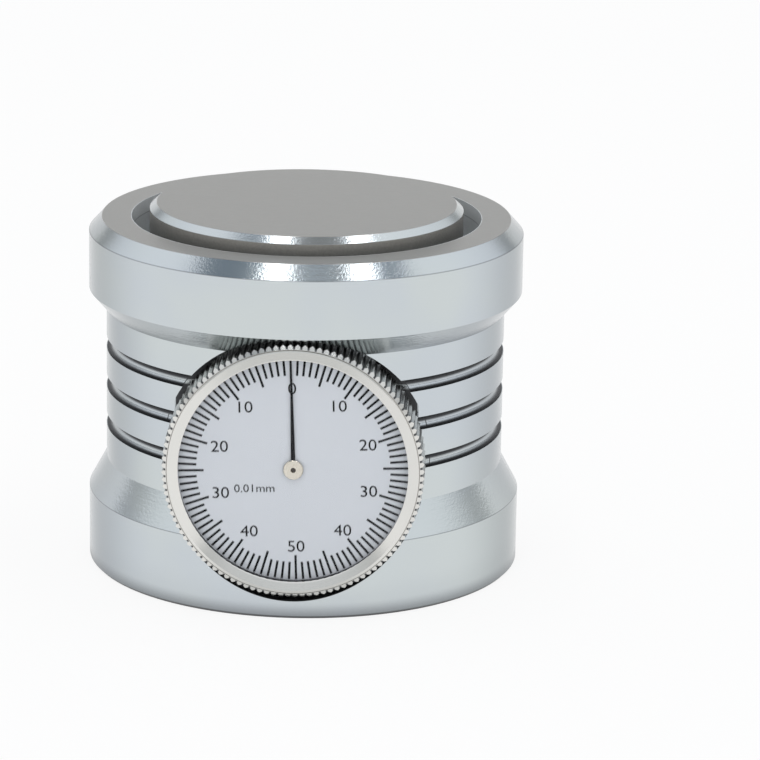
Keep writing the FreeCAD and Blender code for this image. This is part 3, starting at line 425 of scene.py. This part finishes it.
def runTree(tree, name, settings, body):
    # Puts the tree on an empty mesh, keeps what it makes as a plain mesh and rides it on a body
    maker = bpy.data.objects.new(name + "Maker", bpy.data.meshes.new(name + "Maker"))
    bpy.context.scene.collection.objects.link(maker)
    modifier = maker.modifiers.new(name, "NODES")
    modifier.node_group = tree.nodeTree
    for item in tree.nodeTree.interface.items_tree:
        if item.in_out == "INPUT" and item.name in settings:
            modifier[item.identifier] = settings[item.name]
    bpy.context.view_layer.update()
    evaluated = maker.evaluated_get(bpy.context.evaluated_depsgraph_get())
    mesh = bpy.data.meshes.new_from_object(evaluated)
    maker.modifiers.remove(modifier)
    bpy.data.objects.remove(maker)
    return addPiece(name, mesh, body)


def addPiece(name, mesh, body):
    mesh.name = name
    piece = bpy.data.objects.new(name, mesh)
    bpy.context.scene.collection.objects.link(piece)
    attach(piece, body)
    return piece


def makeGraduations():
    inputs = {"Marks": "Int", "Turned": "Float", "Outer": "Float", "Short Inner": "Float",
              "Long Inner": "Float", "Width": "Float", "Thickness": "Float", "Front": "Float",
              "Height": "Float", "Ink": "Material"}
    tree = geometryTree("graduations", inputs)
    given = tree.outputs(tree.node("NodeGroupInput"))
    index = tree.node("GeometryNodeInputIndex")
    angle = index / given["Marks"] * fullTurn + given["Turned"]
    isLong = index.math("MODULO", 5.0) < 0.5
    inner = given["Short Inner"] + (given["Long Inner"] - given["Short Inner"]) * isLong
    middle = (given["Outer"] + inner) / 2
    spot = tree.node("ShaderNodeCombineXYZ", None, {
        0: angle.math("SINE") * middle, 1: given["Front"] - given["Thickness"] / 2,
        2: angle.math("COSINE") * middle + given["Height"]})
    size = tree.node("ShaderNodeCombineXYZ", None, {
        0: given["Width"], 1: given["Thickness"], 2: given["Outer"] - inner})
    turn = tree.node("ShaderNodeCombineXYZ", None, {1: angle})
    points = tree.node("GeometryNodePoints", None, {"Count": given["Marks"], "Position": spot})
    bar = tree.node("GeometryNodeMeshCube", None, {"Size": (1.0, 1.0, 1.0)})
    placed = tree.node("GeometryNodeInstanceOnPoints", None,
                       {"Points": points, "Instance": bar, "Rotation": turn, "Scale": size})
    real = tree.node("GeometryNodeRealizeInstances", None, {"Geometry": placed})
    inked = tree.node("GeometryNodeSetMaterial", None, {"Geometry": real, "Material": given["Ink"]})
    out = tree.nodeTree.nodes.new("NodeGroupOutput")
    tree.plug(out.inputs[0], inked)
    return runTree(tree, "dialGraduations", {
        "Marks": dialPrint["marks"], "Turned": math.radians(dialPrint["turned"]),
        "Outer": dialPrint["outerRadius"] * mm, "Short Inner": dialPrint["shortInner"] * mm,
        "Long Inner": dialPrint["longInner"] * mm,
        "Width": dialPrint["lineWidth"] * mm, "Thickness": dialPrint["inkThickness"] * mm,
        "Front": dialFront, "Height": dialHeight, "Ink": materials["dialInk"]}, "bezel_group")


def textMesh(words, height):
    # Upright closed letters of the given height, their middle at the origin, facing -Y
    curve = bpy.data.curves.new("letters", "FONT")
    curve.body = words
    curve.size = 1.0
    curve.extrude = 0.01
    curve.resolution_u = 4
    carrier = bpy.data.objects.new("letters", curve)
    bpy.context.scene.collection.objects.link(carrier)
    bpy.context.view_layer.update()
    evaluated = carrier.evaluated_get(bpy.context.evaluated_depsgraph_get())
    mesh = bpy.data.meshes.new_from_object(evaluated)
    bpy.data.objects.remove(carrier)
    low = Vector(min(v.co[axis] for v in mesh.vertices) for axis in range(3))
    high = Vector(max(v.co[axis] for v in mesh.vertices) for axis in range(3))
    scale = height * mm / (high.y - low.y)
    thin = dialPrint["inkThickness"] * mm / (high.z - low.z)
    mesh.transform(Matrix.Translation(-(low + high) / 2))
    mesh.transform(Matrix.Diagonal((scale * dialPrint["widened"], scale, thin, 1)))
    mesh.transform(Matrix.Rotation(math.radians(90), 4, "X"))
    return mesh


def makeNumbers():
    joined = bmesh.new()
    tilt = Matrix.Rotation(math.radians(dialPrint["turned"]), 4, "Y")
    spots = []
    for step in range(10):
        tens = min(step, 10 - step)
        angle = fullTurn * step / 10
        radius = dialPrint["numberRadii"][tens]
        words = str(10 * tens)
        spots.append((words, math.sin(angle) * radius, math.cos(angle) * radius, dialPrint["numberHeight"]))
    spots.append((dialPrint["unitText"], *dialPrint["unitSpot"], dialPrint["unitHeight"]))
    front = dialFront - dialPrint["inkThickness"] * mm / 2
    for words, across, up, height in spots:
        mesh = textMesh(words, height)
        shiftAcross, shiftUp = dialPrint["shift"]
        mesh.transform(Matrix.Translation(((across + shiftAcross) * mm, 0, (up + shiftUp) * mm)))
        mesh.transform(Matrix.Translation((0, front, dialHeight)) @ tilt)
        joined.from_mesh(mesh)
    mesh = bpy.data.meshes.new("dialNumbers")
    joined.to_mesh(mesh)
    joined.free()
    mesh.materials.append(materials["dialInk"])
    return addPiece("dialNumbers", mesh, "bezel_group")


def mergedCopy(name):
    # The solid's faces with their corners joined, where it lies at rest
    node = nodes[name]
    mesh = node.data.copy()
    mesh.transform(node.matrix_world)
    shape = bmesh.new()
    shape.from_mesh(mesh)
    bmesh.ops.remove_doubles(shape, verts=shape.verts, dist=1e-6)
    bmesh.ops.recalc_face_normals(shape, faces=shape.faces)
    shape.to_mesh(mesh)
    shape.free()
    return mesh


def makePointer():
    # The pointer stands over the zero of the print
    mesh = mergedCopy("pointer")
    middle = Matrix.Translation((0, 0, dialHeight))
    turn = Matrix.Rotation(math.radians(dialPrint["pointerTurned"]), 4, "Y")
    mesh.transform(middle @ turn @ middle.inverted())
    for polygon in mesh.polygons:
        polygon.use_smooth = False
    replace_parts(addPiece("dialPointer", mesh, "pointer_group"), "pointer")


makeGraduations()
makeNumbers()
makePointer()
print("dial printed")


# Floor, lamps, surroundings and camera

def makeFloor():
    pale = {"half": 3.0, "tone": (0.88, 0.88, 0.88, 1), "roughness": 0.9, "glow": 0.88}
    half = pale["half"]
    corners = [(-half, -half, 0), (half, -half, 0), (half, half, 0), (-half, half, 0)]
    mesh = bpy.data.meshes.new("floor")
    mesh.from_pydata(corners, [], [(0, 1, 2, 3)])
    floor = bpy.data.objects.new("floor", mesh)
    bpy.context.scene.collection.objects.link(floor)
    shader = Shader("paleFloor")
    shader.set({"Base Color": pale["tone"], "Roughness": pale["roughness"]})
    path = shader.outputs(shader.node("ShaderNodeLightPath"))
    seen = path["Is Camera Ray"].math("MAXIMUM", path["Is Glossy Ray"])
    seen = seen.math("MAXIMUM", path["Is Transmission Ray"])
    glow = shader.node("ShaderNodeEmission", None, {"Color": (1, 1, 1, 1), "Strength": 1.0})
    mesh.materials.append(shader.blend(seen * pale["glow"], glow))


def makeWorld():
    # A light tent, white round its foot and pale above a grey band, with dark gaps between the lamps overhead
    studio = {
        "foot": (1.0, 1.0, 1.0, 1),
        "footEdge": (0.215, 0.23),          # sine of the height
        "band": (0.44, 0.455, 0.46, 1),
        "bandFade": (0.27, 0.44),
        "ceiling": (0.95, 0.97, 1.0, 1),
        "flag": (0.21, 0.25, 0.29, 1),      # beside the lamps, to the left and right of them
        "flagAlong": (-0.9, 0.08, 0.05),
        "flagLeft": (-0.72, -0.22, 0.04),
        "flagRight": (0.42, 0.64, 0.04),
        "gap": (0.25, 0.25, 0.24, 1),       # between the lamps
        "gapAlong": (-0.3, 0.35, 0.02),
        "gapAcross": (-0.12, 0.31, 0.02),
        "front": (0.43, 0.48, 0.53, 1),     # the same gap nearer the camera
        "frontAlong": (-0.7, -0.3, 0.02),
    }
    world = bpy.data.worlds.new("studio")
    bpy.context.scene.world = world
    world.use_nodes = True
    tree = Tree(world.node_tree)
    tree.nodeTree.nodes.clear()
    x, y, z = tree.split(tree.node("ShaderNodeTexCoord"))
    path = tree.outputs(tree.node("ShaderNodeLightPath"))
    above = z.math("MAXIMUM", 0.05)
    across, along = x / above, y / above
    flags = across.inside(*studio["flagLeft"]) + across.inside(*studio["flagRight"])
    gap = across.inside(*studio["gapAcross"])
    ceiling = tree.mix(flags * along.inside(*studio["flagAlong"]), studio["ceiling"], studio["flag"])
    ceiling = tree.mix(gap * along.inside(*studio["frontAlong"]), ceiling, studio["front"])
    ceiling = tree.mix(gap * along.inside(*studio["gapAlong"]), ceiling, studio["gap"])
    sides = tree.mix(z.rise(*studio["bandFade"]), studio["band"], ceiling)
    colour = tree.mix(z.rise(*studio["footEdge"]), studio["foot"], sides)
    light = tree.node("ShaderNodeBackground", None, {"Color": colour, "Strength": 1.0})
    plainWhite = tree.node("ShaderNodeBackground", None, {"Color": (1, 1, 1, 1), "Strength": 1.0})
    mixed = tree.node("ShaderNodeMixShader", None, {0: path["Is Camera Ray"], 1: light, 2: plainWhite})
    out = tree.nodeTree.nodes.new("ShaderNodeOutputWorld")
    tree.nodeTree.links.new(mixed.socket, out.inputs["Surface"])


strips = {
    "leftStrip": {"spot": (-0.17, -0.2, 1.0), "size": (0.08, 1.0), "turned": 0.0, "power": 1.7},
    "rightStrip": {"spot": (0.36, -0.2, 1.0), "size": (0.065, 1.0), "turned": 2.0, "power": 1.4},
}


def addStrip(name, spot, size, turned, power):
    # A lamp that hangs level, its long side about from back to front
    lamp = bpy.data.lights.new(name, "AREA")
    lamp.shape = "RECTANGLE"
    lamp.size, lamp.size_y = size
    lamp.energy = power
    carrier = bpy.data.objects.new(name, lamp)
    carrier.location = spot
    carrier.rotation_euler.z = math.radians(turned)
    bpy.context.scene.collection.objects.link(carrier)


def makeCamera():
    view = {
        "spot": (0.0265695, -0.5417486, 0.1755215),
        "aim": (0.010497, 0.0, 0.025240),
        "roll": 0.965,       # degrees about the line of sight
        "lens": 190.89,
    }
    camera = bpy.data.cameras.new("camera")
    camera.lens = view["lens"]
    camera.sensor_width = 36
    carrier = bpy.data.objects.new("camera", camera)
    sight = (Vector(view["aim"]) - Vector(view["spot"])).to_track_quat("-Z", "Y").to_matrix().to_4x4()
    roll = Matrix.Rotation(math.radians(view["roll"]), 4, "Z")
    carrier.matrix_world = Matrix.Translation(view["spot"]) @ sight @ roll
    bpy.context.scene.collection.objects.link(carrier)
    bpy.context.scene.camera = carrier


makeFloor()
makeWorld()
for name, values in strips.items():
    addStrip(name, **values)
makeCamera()
bpy.context.scene.view_settings.view_transform = "Standard"
print("studio set")
